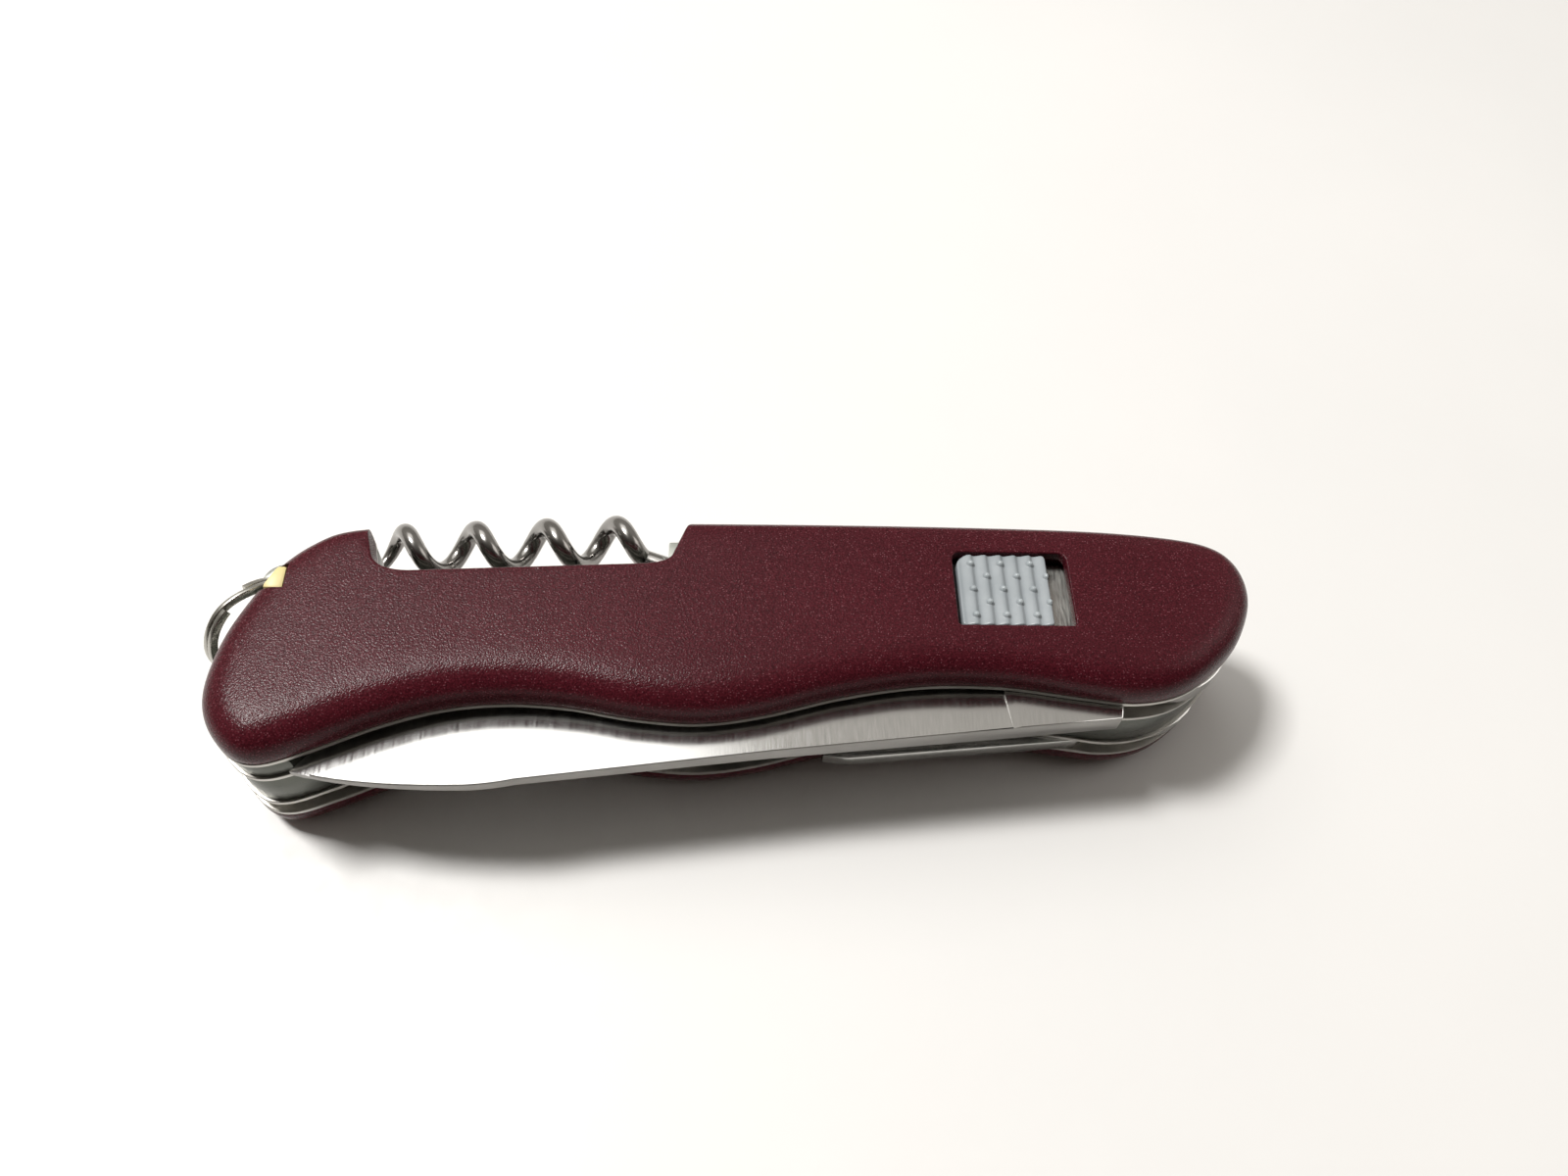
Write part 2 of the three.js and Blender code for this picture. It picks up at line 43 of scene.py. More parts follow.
DRAWN_TO_ROW = Vector((1.5696, -2.3402, 0))
SETTLE = Matrix.Scale(MM, 4) @ Matrix.Translation(DRAWN_TO_ROW)

# Layers, from the table up: the thickness of a liner and the height of each one's lower face.
LINER = 0.6
Z_REAR_LINER, Z_OPENER_LINER, Z_BLADE_LINER, Z_FRONT_LINER = 4.2, 7.0, 13.2, 16.6
Z_FRONT_SCALE, Z_TOP = 17.2, 21.4

# A scale's face: an edge rounded ROUND_IN inwards and ROUND_UP high, then a low crown that is flat from
# CROWN_IN on. The rounding is drawn up to ROUND_TURN, and along the back it reaches BACK_SHARPER less far.
ROUND_IN, ROUND_UP, ROUND_POWER = 4.6, 3.7, 2.6
CROWN_IN, CROWN_UP = 9.0, 0.15
ROUND_STEPS, ROUND_TURN = 16, math.radians(75)
BACK_SHARPER = 0.52

# Spacing of the points inside the rounded edge, and their distance from it.
CAP_STEP, CAP_MARGIN = 1.2, 0.6

# Centres of the rivets and pins, and the radii of their holes in the liners.
HEAD, BUTT, CENTRE = (45, 3), (-46.5, -3), (3.5, 5)
SCREW_PIVOT, REAMER_PIVOT = (-3, 10), (13.5, 10.2)
RIVET_HOLE, PIN_HOLE = 1.55, 1.15

# Cut-outs of the scales and the front liner, as x0, x1, y0, y1.
WINDOW = (21.95, 34.6, 0.3, 9.5)
WINDOW_CORNERS = (0.3, 1, 1, 0.3)
SLIDE_ROOM = (20.9, 37.8, -0.65, 10.2)
LEAF_BED = (7, 39.2, 1, 8.4)
LEAF_OPENING = (7.65, 36.8, 1.05, 8.35)
PICK_SLOT = (-60, 6.4, 3.4, 6.1)
PICK_NOTCH = (-60, -48.8, 3.9, 7.1)

# The button: its sides, its corner radii by (at the back, towards the butt), its ribs and its dots.
BUTTON = (22.45, 32.35, 0.4, 9.3)
BUTTON_CORNERS = {(0, 0): 0.35, (1, 0): 0.6, (1, 1): 1.4, (0, 1): 0.45}
RIB_PITCH, RIB_COUNT, FIRST_RIB = 1.64, 6, BUTTON[1] - 0.2
DOT_ROWS, DOT_RADIUS = (8.1, 6.5, 4.85, 3.2, 1.6), 0.4

# The corkscrew: its axis, where the coil starts, turns, pitch, outer radius, steps and the lead to the hub.
SCREW_Y, SCREW_Z, COIL_START = 17.2, 10.4, -16.45
COIL_TURNS, COIL_PITCH, COIL_REACH, COIL_STEPS = 3.95, 8.15, 3.4, 460
LEAD_SHARE, LEAD_LENGTH, LEAD_DROP = 0.06, 3.4, 1.5

HANDLE = [
    (-55.3, -7.3), (-54.2, -10.9), (-51.6, -13.7), (-48.6, -14.3), (-43.8, -12.6), (-38, -10.1),
    (-31.8, -8.2), (-25.4, -7.5), (-18.9, -7.9), (-12.3, -9.1), (-5.6, -9.6), (1, -8.7), (9.4, -6.5),
    (18.1, -5.1), (26.9, -5.1), (35.5, -6.3), (41.3, -6.9), (46.7, -5.6), (51.9, -1.6), (54.6, 2.6),
    (55.5, 6.2), (54.6, 9.4), (52, 11.6), (47.2, 12.8), (38, 13.6), (24, 13.9), (8, 13.95),
    (-8, 13.8), (-24, 13.5), (-36, 12.9), (-43.6, 12.1), (-47.5, 10.2), (-50.75, 6.9), (-53.3, 2),
    (-54.8, -2.5),
]


# ---------------------------------------------------------------- outlines

def closed_spline(points, steps):
    knots = [Vector(p) for p in points]
    out = []
    for i in range(len(knots)):
        a, b, c, d = (knots[(i + k - 1) % len(knots)] for k in range(4))
        for s in range(steps):
            t = s / steps
            out.append(0.5 * (2 * b + (c - a) * t + (2 * a - 5 * b + 4 * c - d) * t ** 2
                              + (3 * b - a - 3 * c + d) * t ** 3))
    return out


def trace(start, *moves):
    """An outline. A move is a line (1 point), a quadratic (2) or cubic (3) curve, or an arc.

    An arc is (centre, radius, first angle, last angle).
    """
    out = [Vector(start)]
    for move in moves:
        a = out[-1]
        if isinstance(move[0], tuple) and len(move) == 4 and not isinstance(move[1], tuple):
            centre, radius, begin, end = move
            steps = max(8, int(abs(end - begin) * radius * 2.5))
            for s in range(steps + 1):
                angle = begin + (end - begin) * s / steps
                out.append(Vector(centre) + radius * Vector((math.cos(angle), math.sin(angle))))
            continue
        knots = [a] + [Vector(p) for p in move]
        steps = {2: 1, 3: 10, 4: 28}[len(knots)]
        for s in range(1, steps + 1):
            level = knots
            while len(level) > 1:
                level = [p.lerp(q, s / steps) for p, q in zip(level, level[1:])]
            out.append(level[0])
    return out


def inset(points, distance):
    """A closed outline's points moved inwards, each square to its neighbours."""
    out = []
    for i, p in enumerate(points):
        along = (points[(i + 1) % len(points)] - points[i - 1]).normalized()
        out.append(Vector((p.x - along.y * distance, p.y + along.x * distance)))
    return out


def rounded_rectangle(x0, x1, y0, y1, corners, steps=8):
    """corners: the radii at front right, back right, back left and front left."""
    out = []
    for corner, cx, cy, begin in zip(corners, (x1, x1, x0, x0), (y0, y1, y1, y0), (-90, 0, 90, 180)):
        centre = Vector((cx + corner * (1 if cx == x0 else -1), cy + corner * (1 if cy == y0 else -1)))
        for s in range(steps + 1):
            angle = math.radians(begin + 90 * s / steps)
            out.append(centre + corner * Vector((math.cos(angle), math.sin(angle))))
    return out


def circle(centre, radius, steps=48):
    return [Vector(centre) + radius * Vector((math.cos(a), math.sin(a)))
            for a in (2 * math.pi * s / steps for s in range(steps))]


def recess_outline(deeper):
    """The finger recess that bares the corkscrew."""
    return trace(
        (-42.4, 16), ((-41.5, 12.4), (-41.2, 11)), ((-40.5 - deeper / 2, 8.4),),
        ((-39.9, 6.35 - deeper), (-36.4, 6.3 - deeper)), ((-12.2, 7.55 - deeper),),
        ((-9.2, 7.7 - deeper), (-8.6, 8.7 - deeper)), ((-7.2, 12.2),), ((-6.4, 13.8), (-4.9, 13.95)),
        ((-4.9, 16),))


# ---------------------------------------------------------------- meshes

def mesh_object(name, verts, faces):
    mesh = bpy.data.meshes.new(name)
    mesh.from_pydata([tuple(v) for v in verts], [], faces)
    obj = bpy.data.objects.new(name, mesh)
    bpy.context.scene.collection.objects.link(obj)
    return obj


def loft(name, rings, top=None):
    """Rings with the same number of points, joined one to the next and closed at both ends.

    top is the last end's own (points, faces), where a flat end won't do.
    """
    count = len(rings[0])
    verts = [p for ring in rings for p in ring]
    faces = []
    for r in range(len(rings) - 1):
        low, high = r * count, (r + 1) * count
        for i in range(count):
            j = (i + 1) % count
            faces.append((low + i, low + j, high + j, high + i))
    last = (len(rings) - 1) * count
    faces.append(tuple(range(count - 1, -1, -1)))
    points, triangles = top or ([], [range(count)])
    faces += [tuple(last + i for i in face) for face in triangles]
    return mesh_object(name, verts + points, faces)


def prism(name, outline, levels):
    """levels: (height, inset) from the bottom up."""
    return loft(name, [[(p.x, p.y, z) for p in inset(outline, distance)] for z, distance in levels])


def box(x0, x1, y0, y1, z0, z1):
    return prism("cutter", [Vector(p) for p in ((x0, y0), (x1, y0), (x1, y1), (x0, y1))], [(z0, 0), (z1, 0)])


def evaluated(obj):
    """Applies an object's modifiers."""
    graph = bpy.context.evaluated_depsgraph_get()
    mesh = bpy.data.meshes.new_from_object(obj.evaluated_get(graph))
    obj.modifiers.clear()
    obj.data = mesh
    return obj


def cut(obj, *tools):
    for tool in tools:
        modifier = obj.modifiers.new("cut", "BOOLEAN")
        modifier.operation = "DIFFERENCE"
        modifier.solver = "EXACT"
        modifier.object = tool
    evaluated(obj)
    for tool in tools:
        bpy.data.objects.remove(tool)
    return obj


def settle(obj, body, slot, material, *nodes, sharp=32):
    """Moves a drawn piece to the row frame, shades it and lets it stand for its CAD nodes."""
    obj.data.transform(SETTLE)
    obj.data.shade_smooth()
    obj.data.set_sharp_from_angle(angle=math.radians(sharp))
    obj.data.materials.clear()
    obj.data.materials.append(material)
    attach(obj, body)
    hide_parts(*nodes)
    return obj


# ---------------------------------------------------------------- materials

def new_material(name, **sockets):
    material = bpy.data.materials.new(name)
    material.use_nodes = True
    shader = material.node_tree.nodes["Principled BSDF"]
    for socket, value in sockets.items():
        shader.inputs[socket.replace("_", " ")].default_value = value
    coordinates = material.node_tree.nodes.new("ShaderNodeTexCoord")
    return material, material.node_tree, shader, coordinates.outputs["Object"]


def stretched(tree, source, scale):
    mapping = tree.nodes.new("ShaderNodeMapping")
    mapping.inputs["Scale"].default_value = scale
    tree.links.new(source, mapping.inputs["Vector"])
    return mapping.outputs["Vector"]


def noise(tree, source, scale, detail=3.0):
    node = tree.nodes.new("ShaderNodeTexNoise")
    node.inputs["Scale"].default_value = scale
    node.inputs["Detail"].default_value = detail
    node.inputs["Roughness"].default_value = 0.55
    tree.links.new(source, node.inputs["Vector"])
    return node.outputs["Fac"]


def cells(tree, source, scale, output="Distance"):
    node = tree.nodes.new("ShaderNodeTexVoronoi")
    node.inputs["Scale"].default_value = scale
    tree.links.new(source, node.inputs["Vector"])
    return node.outputs[output]


def ramp(tree, factor, *stops):
    """stops: (position, grey or colour)."""
    node = tree.nodes.new("ShaderNodeValToRGB")
    elements = node.color_ramp.elements
    while len(elements) < len(stops):
        elements.new(0.5)
    for element, (position, color) in zip(elements, stops):
        element.position = position
        element.color = (*color, 1) if isinstance(color, tuple) else (color, color, color, 1)
    tree.links.new(factor, node.inputs["Fac"])
    return node.outputs["Color"]


def blend(tree, kind, factor, a, b):
    node = tree.nodes.new("ShaderNodeMix")
    node.data_type = "RGBA"
    node.blend_type = kind
    for socket, value in ((node.inputs[0], factor), (node.inputs[6], a), (node.inputs[7], b)):
        if isinstance(value, bpy.types.NodeSocket):
            tree.links.new(value, socket)
        else:
            socket.default_value = value
    return node.outputs[2]


def bump(tree, shader, height, distance, strength=1.0):
    node = tree.nodes.new("ShaderNodeBump")
    node.inputs["Distance"].default_value = distance
    node.inputs["Strength"].default_value = strength
    tree.links.new(height, node.inputs["Height"])
    tree.links.new(node.outputs["Normal"], shader.inputs["Normal"])


def metal(name, low, high, rough, lines, grain, depth):
    """Steel with fine finishing lines: lines is the stretch of the pattern, grain its fineness."""
    material, tree, shader, place = new_material(name, Metallic=1.0)
    brushed = noise(tree, stretched(tree, place, lines), grain, 4.0)
    patches = noise(tree, place, 170.0, 3.0)
    tint = blend(tree, "MULTIPLY", 1.0, ramp(tree, patches, (0.3, low), (0.7, high)),
                 ramp(tree, brushed, (0.25, 0.88), (0.75, 1.0)))
    tree.links.new(tint, shader.inputs["Base Color"])
    gloss = ramp(tree, brushed, (0.25, rough * 0.75), (0.75, rough * 1.25))
    tree.links.new(gloss, shader.inputs["Roughness"])
    bump(tree, shader, brushed, depth)
    return material


def plastic(name, low, high, rough, grain, depth):
    material, tree, shader, place = new_material(name)
    fine = noise(tree, place, grain, 3.0)
    tint = ramp(tree, noise(tree, place, 260.0), (0.35, low), (0.65, high))
    tree.links.new(tint, shader.inputs["Base Color"])
    tree.links.new(ramp(tree, fine, (0.3, rough * 0.85), (0.7, rough * 1.15)), shader.inputs["Roughness"])
    bump(tree, shader, fine, depth)
    return material


def scale_material():
    """Burgundy plastic with a fine grain and faint clouds; the paler specks in its colour are painted glints.
    """
    material, tree, shader, place = new_material("burgundy_scale", IOR=1.45, Specular_IOR_Level=0.2)
    grain = cells(tree, place, 4200.0)
    dust = noise(tree, place, 5200.0, 2.0)
    clouds = noise(tree, place, 60.0, 3.0)
    base = ramp(tree, clouds, (0.3, (0.053, 0.0062, 0.0106)), (0.7, (0.063, 0.0076, 0.0128)))
    mottled = blend(tree, "MULTIPLY", 1.0, base, ramp(tree, dust, (0.35, 0.62), (0.65, 1.4)))
    # Pale specks mixed into the base colour here are painted glints.
    painted_glint = ramp(tree, cells(tree, place, 4200.0, "Color"), (0.5, 0.0), (0.8, 1.0))
    painted_glint_spot = blend(tree, "MULTIPLY", 1.0, painted_glint, ramp(tree, grain, (0.12, 1.0), (0.36, 0.0)))
    tree.links.new(blend(tree, "MIX", painted_glint_spot, mottled, (0.2, 0.07, 0.085, 1)), shader.inputs["Base Color"])
    tree.links.new(ramp(tree, dust, (0.3, 0.19), (0.7, 0.29)), shader.inputs["Roughness"])
    height = blend(tree, "MIX", 0.4, ramp(tree, grain, (0.0, 1.0), (0.6, 0.0)),
                   ramp(tree, dust, (0.3, 0.0), (0.7, 1.0)))
    bump(tree, shader, height, 0.000032)
    return material


SCALE_LOOK = scale_material()
LINER_LOOK = metal("liner_steel", (0.52, 0.505, 0.47), (0.64, 0.62, 0.585), 0.4, (1, 1, 6), 700.0, 0.000003)
# Spring steel darkened as painted shade.
SHADED_SPRING_LOOK = metal("spring_steel", (0.17, 0.18, 0.16), (0.25, 0.255, 0.235), 0.24,
                    (1, 1, 14), 500.0, 0.000003)
# Darker still: painted shade for the springs and spacer deep between the liners.
DEEP_SHADED_SPRING_LOOK = metal("spring_steel_deep_painted_shade", (0.085, 0.09, 0.078), (0.13, 0.135, 0.118), 0.32,
                         (1, 1, 14), 500.0, 0.000003)
RIVET_LOOK = metal("rivet_steel", (0.6, 0.6, 0.58), (0.72, 0.72, 0.7), 0.32, (1, 1, 1), 1500.0, 0.000002)
BLADE_LOOK = metal("blade_steel", (0.77, 0.77, 0.76), (0.81, 0.81, 0.8), 0.17, (14, 1, 1), 420.0, 0.0000015)
# Darker steel for the spine and side faces: partly a duller finish, partly painted shade for the shadowed
# table they reflect.
SHADED_SPINE_LOOK = metal("spine_steel_painted_shade", (0.27, 0.26, 0.245), (0.34, 0.33, 0.315), 0.34, (1, 1, 12), 420.0, 0.000002)
TOOL_LOOK = metal("tool_steel", (0.55, 0.55, 0.53), (0.68, 0.68, 0.66), 0.22, (12, 1, 1), 420.0, 0.000002)
COIL_LOOK = metal("coil_chrome", (0.29, 0.28, 0.268), (0.36, 0.348, 0.335), 0.2, (1, 1, 1), 900.0, 0.000001)
HUB_LOOK = metal("hub_steel", (0.4, 0.42, 0.38), (0.5, 0.52, 0.48), 0.38, (1, 1, 8), 600.0, 0.000003)
LUG_LOOK = metal("lug_steel", (0.4, 0.41, 0.38), (0.5, 0.51, 0.47), 0.4, (10, 1, 1), 500.0, 0.000002)
# Slide plate steel paler than steel is: painted light, so the plate reads lit inside the window's shade.
SLIDE_PAINTED_LIGHT_LOOK = metal("slide_steel_painted_light", (0.84, 0.84, 0.79), (0.93, 0.93, 0.88), 0.5, (10, 1, 1), 500.0, 0.000002)
RING_LOOK = metal("ring_steel", (0.5, 0.49, 0.45), (0.6, 0.585, 0.54), 0.26, (1, 1, 1), 1200.0, 0.000002)
BUTTON_LOOK = plastic("button_grey", (0.27, 0.3, 0.32), (0.31, 0.34, 0.36), 0.32, 3000.0, 0.000004)
# A lighter, shinier grey for the dots: the shine is the roughness, the lighter colour is a painted highlight.
DOT_HIGHLIGHT_LOOK = plastic("button_dot_painted_highlight", (0.36, 0.4, 0.42), (0.42, 0.46, 0.48), 0.16, 3000.0, 0.000002)
PICK_LOOK = plastic("toothpick_cream", (0.74, 0.62, 0.27), (0.81, 0.69, 0.34), 0.42, 2600.0, 0.000004)
GRIP_LOOK = plastic("grip_grey", (0.25, 0.26, 0.27), (0.3, 0.31, 0.32), 0.5, 2600.0, 0.000006)


# ---------------------------------------------------------------- handle

OUTLINE = closed_spline(HANDLE, 8)
FINE_OUTLINE = closed_spline(HANDLE, 24)
RIM = KDTree(len(FINE_OUTLINE))
for index, point in enumerate(FINE_OUTLINE):
    RIM.insert((point.x, point.y, 0), index)
RIM.balance()


def edge_shares(outline):
    """Share of the full rounding at each point: the edge along the back is sharper than the front one."""
    return [1 - BACK_SHARPER * min(1, max(0, p.y - q.y)) for p, q in zip(outline, inset(outline, 1.0))]


RIM_SHARES = edge_shares(FINE_OUTLINE)


def scale_height(inwards):
    """Height of a scale's face at a distance inwards from its outline: a rounded edge, a low crown."""
    edge = 1 - min(inwards / ROUND_IN, 1)
    crown = 1 - min(inwards / CROWN_IN, 1)
    return Z_TOP - ROUND_UP * (1 - (1 - edge ** ROUND_POWER) ** (1 / ROUND_POWER)) - CROWN_UP * crown * crown


def rim_distance(x, y):
    """Distance inwards from the outline, and the share of the rounding at the nearest point of it."""
    _, nearest, distance = RIM.find((x, y, 0))
    return distance, RIM_SHARES[nearest]


def inside(place, outline):
    crossings = 0
    for a, b in zip(outline, outline[1:] + outline[:1]):
        if (a.y > place.y) != (b.y > place.y):
            crossings += place.x < a.x + (place.y - a.y) * (b.x - a.x) / (b.y - a.y)
    return crossings % 2 == 1


def crowned_cap(ring, reach):
    """Points and triangles that fill a ring lying up to reach from the outline.

    The points are the new ones. The triangles number the ring's points first and the new ones after them.
    """
    rim = [Vector((p[0], p[1])) for p in ring]
    points, extra = list(rim), []
    for column in range(-46, 47):
        for row in range(-10, 12):
            place = Vector((column * CAP_STEP, row * CAP_STEP + CAP_STEP / 2 * (column % 2)))
            distance, share = rim_distance(place.x, place.y)
            if distance > reach * share + CAP_MARGIN and inside(place, rim):
                points.append(place)
                extra.append((place.x, place.y, scale_height(distance / share)))
    _, _, triangles, origin, _, _ = delaunay_2d_cdt(points, [], [list(range(len(rim)))], 1, 1e-5)
    order = [min(sources) for sources in origin]
    return extra, [tuple(order[i] for i in face) for face in triangles]


def scale_body(name, with_window):
    """A scale in the front one's place. Only the front one has the window and the rooms under it."""
    rings = [[(p.x, p.y, Z_FRONT_SCALE) for p in inset(OUTLINE, 0.1)]]
    edge = list(zip(OUTLINE, inset(OUTLINE, 1.0), edge_shares(OUTLINE)))
    for k in range(ROUND_STEPS + 1):
        inwards = ROUND_IN * (1 - math.cos(ROUND_TURN * k / ROUND_STEPS) ** (2 / ROUND_POWER))
        moved = [p + (q - p) * (inwards * share) for p, q, share in edge]
        rings.append([(p.x, p.y, scale_height(inwards)) for p in moved])
    body = loft(name, rings, crowned_cap(rings[-1], inwards))
    below, above = Z_FRONT_SCALE - 1, Z_TOP + 1
    tools = [prism("cutter", recess_outline(0), flared(below, 0.35)),
             box(*PICK_SLOT, below, Z_TOP - 1.6), box(*PICK_NOTCH, below, above)]
    if with_window:
        tools += [box(*SLIDE_ROOM, below, Z_TOP - 1.2),
                  prism("cutter", rounded_rectangle(*WINDOW, WINDOW_CORNERS), flared(below, 0.22)),
                  box(*LEAF_BED, below, Z_FRONT_SCALE + 0.7)]
    return cut(body, *tools)


def flared(bottom, radius):
    """Levels of a cutter that leaves a rounded rim at the top of a scale."""
    levels = [(bottom, 0)]
    for k in range(6):
        angle = 0.5 * math.pi * k / 5
        height = Z_TOP - radius + radius * math.sin(angle) + 0.001 * k
        levels.append((height, -radius * (1 - math.cos(angle))))
    return levels + [(Z_TOP + 1, -radius - 0.01)]


settle(scale_body("front_scale_shell", True), "handle", "scale", SCALE_LOOK, "front_scale")
rear = scale_body("rear_scale_shell", False)
rear.data.transform(Matrix.Translation((0, 0, Z_TOP)) @ Matrix.Diagonal((1, 1, -1, 1)))
rear.data.flip_normals()
settle(rear, "handle", "scale", SCALE_LOOK, "rear_scale")


def liner_body(name, z, holes, *more):
    """A sheet with a broken edge, cut by the recess, the holes (centre, radius) and more cutters."""
    edge = 0.06
    body = prism(name, OUTLINE, [(z, edge), (z + edge, 0), (z + LINER - edge, 0), (z + LINER, edge)])
    through = [(z - 1, 0), (z + 2, 0)]
    tools = [prism("cutter", recess_outline(0.3), through)]
    tools += [prism("cutter", circle(centre, radius), through) for centre, radius in holes]
    return cut(body, *tools, *more)


RIVETS = [(p, RIVET_HOLE) for p in (HEAD, BUTT, CENTRE)]
PIVOTS = [(p, PIN_HOLE) for p in (SCREW_PIVOT, REAMER_PIVOT)]
for node, z, holes, more in (
        ("front_liner", Z_FRONT_LINER, RIVETS, [box(*LEAF_OPENING, Z_FRONT_LINER - 1, Z_FRONT_LINER + 2)]),
        ("blade_liner", Z_BLADE_LINER, RIVETS + PIVOTS, []),
        ("opener_liner", Z_OPENER_LINER, RIVETS + PIVOTS, []),
        ("rear_liner", Z_REAR_LINER, RIVETS, [])):
    settle(liner_body(node + "_sheet", z, holes, *more), "handle", "liner", LINER_LOOK, node, sharp=40)


# ---------------------------------------------------------------- blade

def blade_body():
    """A plate ground on both faces, thinner towards the edge and towards the tip.

    A grinding cutter's section changes from the plunge line by the tang to beyond the tip, so the ground
    faces are twisted. In a section, y runs from the spine to the cutting edge, z into the plate.
    """
    bottom, top = 13.92, 16.48
    outline = trace(
        (39.6, -8.3), ((40.6, -4.05),), (HEAD, 8.3, -2.13, 2.75), ((30, 5.2),), ((27, 4.4),), ((-16, 1),),
        ((-32, -0.4), (-40.5, -6.6), (-46.3, -14.3)), ((-39.5, -16.1), (-29, -15.9)),
        ((-26.5, -15.8), (-24, -15.25)), ((2, -12.12),))
    body = prism("large_blade_ground", outline, [(bottom, 0), (top, 0)])
    plunge = Matrix.Translation((27.65, -9.51, 0)) @ Matrix.Rotation(math.atan2(5.74, 51.65), 4, "Z")
    stations, spacing, taper = 16, 6, 0.0105
    inner, outer, clear = 18, -2, -3
    tools = [prism("cutter", circle(HEAD, 1.58), [(bottom - 1, 0), (top + 1, 0)])]
    for side in (1, -1):
        rings = []
        for station in reversed(range(stations)):
            from_plunge = station * spacing
            slope = max(0.02, 0.085 - 0.0008 * from_plunge)
            face = [(y, slope * y + taper * from_plunge) for y in (inner, outer)]
            section = [(inner, clear), *face, (outer, clear)][::side]
            rings.append([(-from_plunge, y, side * z) for y, z in section])
        tool = loft("cutter", rings)
        tool.data.transform(Matrix.Translation((0, 0, bottom if side == 1 else top)) @ plunge)
        tools.append(tool)
    return cut(body, *tools)


def weigh_edges(obj, angle, keep):
    """Marks for the bevel the edges sharper than angle that keep accepts."""
    edges = {}
    for polygon in obj.data.polygons:
        for key in polygon.edge_keys:
            edges.setdefault(key, []).append(polygon.normal.copy())
    weights = obj.data.attributes.new("bevel_weight_edge", "FLOAT", "EDGE")
    for edge in obj.data.edges:
        normals = edges.get(tuple(sorted(edge.vertices)), [])
        middle = (obj.data.vertices[edge.vertices[0]].co + obj.data.vertices[edge.vertices[1]].co) / 2
        sharp = len(normals) == 2 and normals[0].angle(normals[1], 0) > math.radians(angle)
        weights.data[edge.index].value = 1.0 if sharp and keep(middle) else 0.0


def bevel_weighted(obj, width, segments):
    modifier = obj.modifiers.new("edges", "BEVEL")
    modifier.limit_method = "WEIGHT"
    modifier.width = width
    modifier.segments = segments
    modifier.use_clamp_overlap = False
    return evaluated(obj)


# The tip and the cutting edge, which lies inside the handle, stay sharp.
blade = blade_body()
weigh_edges(blade, 55, lambda p: p.x > -44.5 and (p.y < -7.5 or p.x > 38))
bevel_weighted(blade, 0.15, 2)
settle(blade, "blade", "blade", BLADE_LOOK, "large_blade", sharp=20)
# The spine is left dull and darkened, the darkening being painted shade; the faces are polished.
blade.data.materials.append(SHADED_SPINE_LOOK)
for polygon in blade.data.polygons:
    polygon.material_index = 1 if abs(polygon.normal.z) < 0.9 else 0


# ---------------------------------------------------------------- lock button

def rib_height(x):
    """Saw teeth: a gentle rise to each crest and a steep drop on the side of the head."""
    best = 0
    for rib in range(RIB_COUNT):
        along = (x - (FIRST_RIB - rib * RIB_PITCH)) / RIB_PITCH
        reach = 0.7 if along < 0 else 0.3
        best = max(best, 1 - abs(along) / reach)
    return best * best * (3 - 2 * best)


# Every second rib has a dot in each row, and the rows take turns.
DOTS = [(FIRST_RIB - rib * RIB_PITCH, y) for row, y in enumerate(DOT_ROWS)
        for rib in ((5, 3, 1) if row % 2 == 0 else (4, 2, 0))]


def button_body():
    """The top is a height field, the sides fall straight to the slide plate."""
    x0, x1, y0, y1 = BUTTON
    lip, low = 0.2, 18.55
    columns, rows = 180, 160
    verts = []
    for r in range(rows + 1):
        for c in range(columns + 1):
            x = x0 + (x1 - x0) * c / columns
            y = y0 + (y1 - y0) * r / rows
            corner = BUTTON_CORNERS[(1 if r > rows / 2 else 0, 0 if c > columns / 2 else 1)]
            core = Vector((min(max(x, x0 + corner), x1 - corner), min(max(y, y0 + corner), y1 - corner)))
            out = Vector((x, y)) - core
            if out.length > corner:
                x, y = core + out * (corner / out.length)
            edge = corner - (Vector((x, y)) - core).length if out.length > 0 else corner
            z = 20.98 + 0.28 * rib_height(x)
            for dot_x, dot_y in DOTS:
                away = math.hypot(x - dot_x, y - dot_y)
                if away < DOT_RADIUS:
                    z = max(z, 21.1 + 0.5 * math.sqrt(1 - (away / DOT_RADIUS) ** 2))
            if edge < lip:
                z -= lip * (1 - math.sqrt(max(0, 1 - (1 - edge / lip) ** 2)))
            verts.append((x, y, z))
    step = columns + 1
    faces = [(r * step + c, r * step + c + 1, (r + 1) * step + c + 1, (r + 1) * step + c)
             for r in range(rows) for c in range(columns)]
    rim = (list(range(columns)) + [r * step + columns for r in range(rows)]
           + [rows * step + c for c in range(columns, 0, -1)] + [r * step for r in range(rows, 0, -1)])
    base = len(verts)
    verts += [(verts[i][0], verts[i][1], low) for i in rim]
    for i in range(len(rim)):
        j = (i + 1) % len(rim)
        faces.append((rim[j], rim[i], base + i, base + j))
    faces.append(tuple(base + i for i in range(len(rim) - 1, -1, -1)))
    return mesh_object("slide_button_ribbed", verts, faces)


button = settle(button_body(), "slide", "button", BUTTON_LOOK, "slide_button", sharp=60)
button.data.materials.append(DOT_HIGHLIGHT_LOOK)
for polygon in button.data.polygons:
    place = SETTLE.inverted() @ polygon.center
    if any(math.hypot(place.x - x, place.y - y) < 0.9 * DOT_RADIUS for x, y in DOTS):
        polygon.material_index = 1


# ---------------------------------------------------------------- corkscrew

